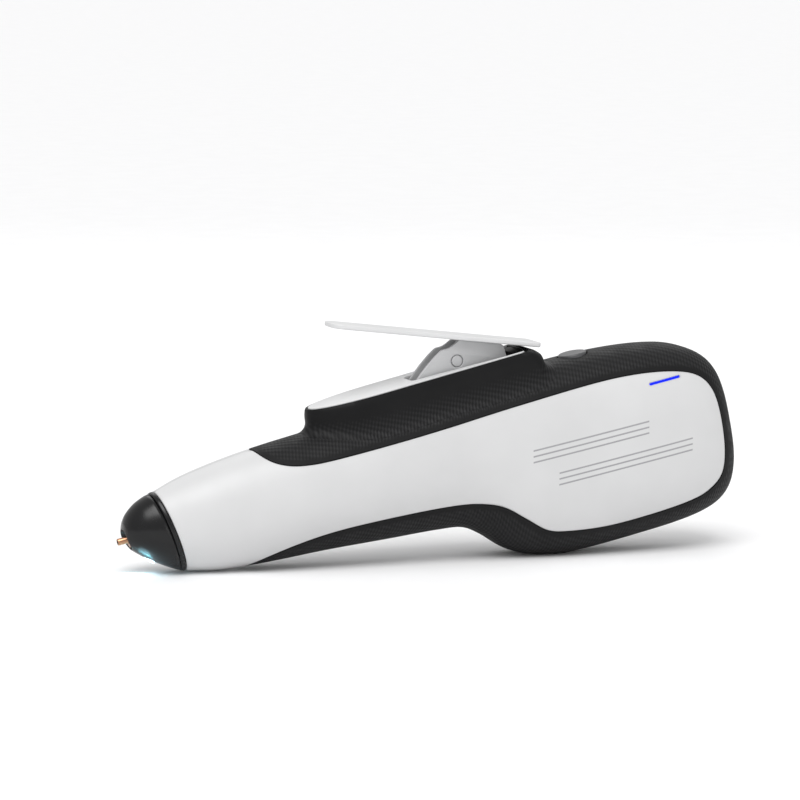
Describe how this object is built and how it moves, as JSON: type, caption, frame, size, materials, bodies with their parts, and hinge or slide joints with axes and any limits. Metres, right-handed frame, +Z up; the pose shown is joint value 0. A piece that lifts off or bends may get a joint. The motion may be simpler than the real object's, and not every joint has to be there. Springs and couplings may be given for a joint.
{
  "type": "cordless hot-glue pen",
  "caption": "Cordless hot-glue pen on its belly: tapered barrel with heated nozzle, raised thumb lever that feeds the glue stick, power button and battery belly.",
  "frame": {"origin": "centre of the bounding box in plan, on the table plane the pen rests on", "axes": "+Z up from the table; -X towards the nozzle, +X towards the rear; -Y is the side with the status light line, so +Y is the side with the screws"},
  "size_m": [0.1887, 0.0336, 0.0702],
  "materials": {
    "shell_white": "satin",
    "grip_black": "matt",
    "turret_black": "satin",
    "cone_black": "satin gloss",
    "nozzle_brass": "polished",
    "lens_clear": "clear",
    "led_white": "lit",
    "heater_metal": "machined",
    "ceramic_cream": "fired ceramic",
    "spring_steel": "ground",
    "mica_tan": "matt",
    "silicone_red": "satin",
    "frame_dark": "moulded",
    "tube_white": "satin",
    "bush_black": "satin",
    "carriage_orange": "moulded",
    "paddle_white": "satin",
    "yoke_grey": "satin",
    "pin_grey": "satin",
    "link_grey": "moulded",
    "button_grey": "satin",
    "switch_metal": "satin",
    "plunger_black": "satin",
    "pcb_green": "solder mask",
    "chip_black": "matt",
    "light_blue": "lit",
    "port_steel": "satin",
    "cell_wrap": "film",
    "tab_nickel": "satin",
    "pad_foam": "foam",
    "lead_red": "insulation",
    "lead_white": "insulation",
    "lead_black": "insulation",
    "screw_dark": "blackened"
  },
  "bodies": {
    "housing": {"housing_left": "shell_white", "housing_right": "shell_white", "grip_band": "grip_black", "turret": "turret_black", "deck": "paddle_white", "nose_cone": "cone_black", "nose_ring": "cone_black", "nozzle": "nozzle_brass", "led_window": "lens_clear", "work_led": "led_white", "melt_chamber": "heater_metal", "ptc_heater": "ceramic_cream", "heater_clip": "spring_steel", "insulation_sleeve": "mica_tan", "inlet_sleeve": "silicone_red", "sleeve_clamp": "spring_steel", "thermal_sensor": "ceramic_cream", "chassis": "frame_dark", "guide_tube": "tube_white", "inlet_bush": "bush_black", "return_spring": "spring_steel", "hinge_pin": "spring_steel", "lever_spring": "spring_steel", "tact_switch": "switch_metal", "main_pcb": "pcb_green", "pcb_parts": "chip_black", "status_led": "led_white", "light_pipe": "light_blue", "charge_pcb": "pcb_green", "charge_port": "port_steel", "battery_cell": "cell_wrap", "battery_tabs": "tab_nickel", "battery_pad": "pad_foam", "heater_leads": "lead_red", "led_leads": "lead_white", "battery_leads": "lead_black", "housing_screws": "screw_dark"},
    "lever": {"lever_paddle": "paddle_white", "lever_yoke": "yoke_grey", "link_pin": "pin_grey"},
    "link": {"drive_link": "link_grey", "foot_pin": "spring_steel"},
    "carriage": {"feed_carriage": "carriage_orange", "jaw_pin": "spring_steel"},
    "jaw": {"grip_jaw": "spring_steel"},
    "button": {"power_button": "button_grey", "tact_plunger": "plunger_black"}
  },
  "joints": [
    {"name": "lever_press", "type": "hinge", "parent": "housing", "child": "lever", "pos_m": [0.02916, 0, 0.05648], "axis": [0, -1, 0], "range_deg": [0, 20], "stiffness_Nm_per_rad": 0.05, "springref_deg": -28.65, "deforming": ["lever_spring"]},
    {"name": "link_swing", "type": "hinge", "parent": "lever", "child": "link", "pos_m": [0.00697, 0, 0.05782], "axis": [0, 1, 0], "range_deg": [0, 51]},
    {"name": "carriage_slide", "type": "slide", "parent": "housing", "child": "carriage", "axis": [-0.9799, 0, -0.1994], "range_m": [0, 0.009], "deforming": ["return_spring"]},
    {"name": "jaw_tilt", "type": "hinge", "parent": "carriage", "child": "jaw", "pos_m": [-0.00685, 0, 0.03426], "axis": [0, -1, 0], "range_deg": [0, 5.2]},
    {"name": "button_press", "type": "slide", "parent": "housing", "child": "button", "axis": [0.1994, 0, -0.9799], "range_m": [0, 0.0006], "stiffness_N_per_m": 800, "springref_m": -0.0005}
  ],
  "couplings": [
    {"joint": "link_swing", "follows": "lever_press", "ratio": 2.519},
    {"joint": "carriage_slide", "follows": "lever_press", "m_per_rad": 0.024448},
    {"joint": "jaw_tilt", "follows": "lever_press", "ratio": 0.25}
  ]
}
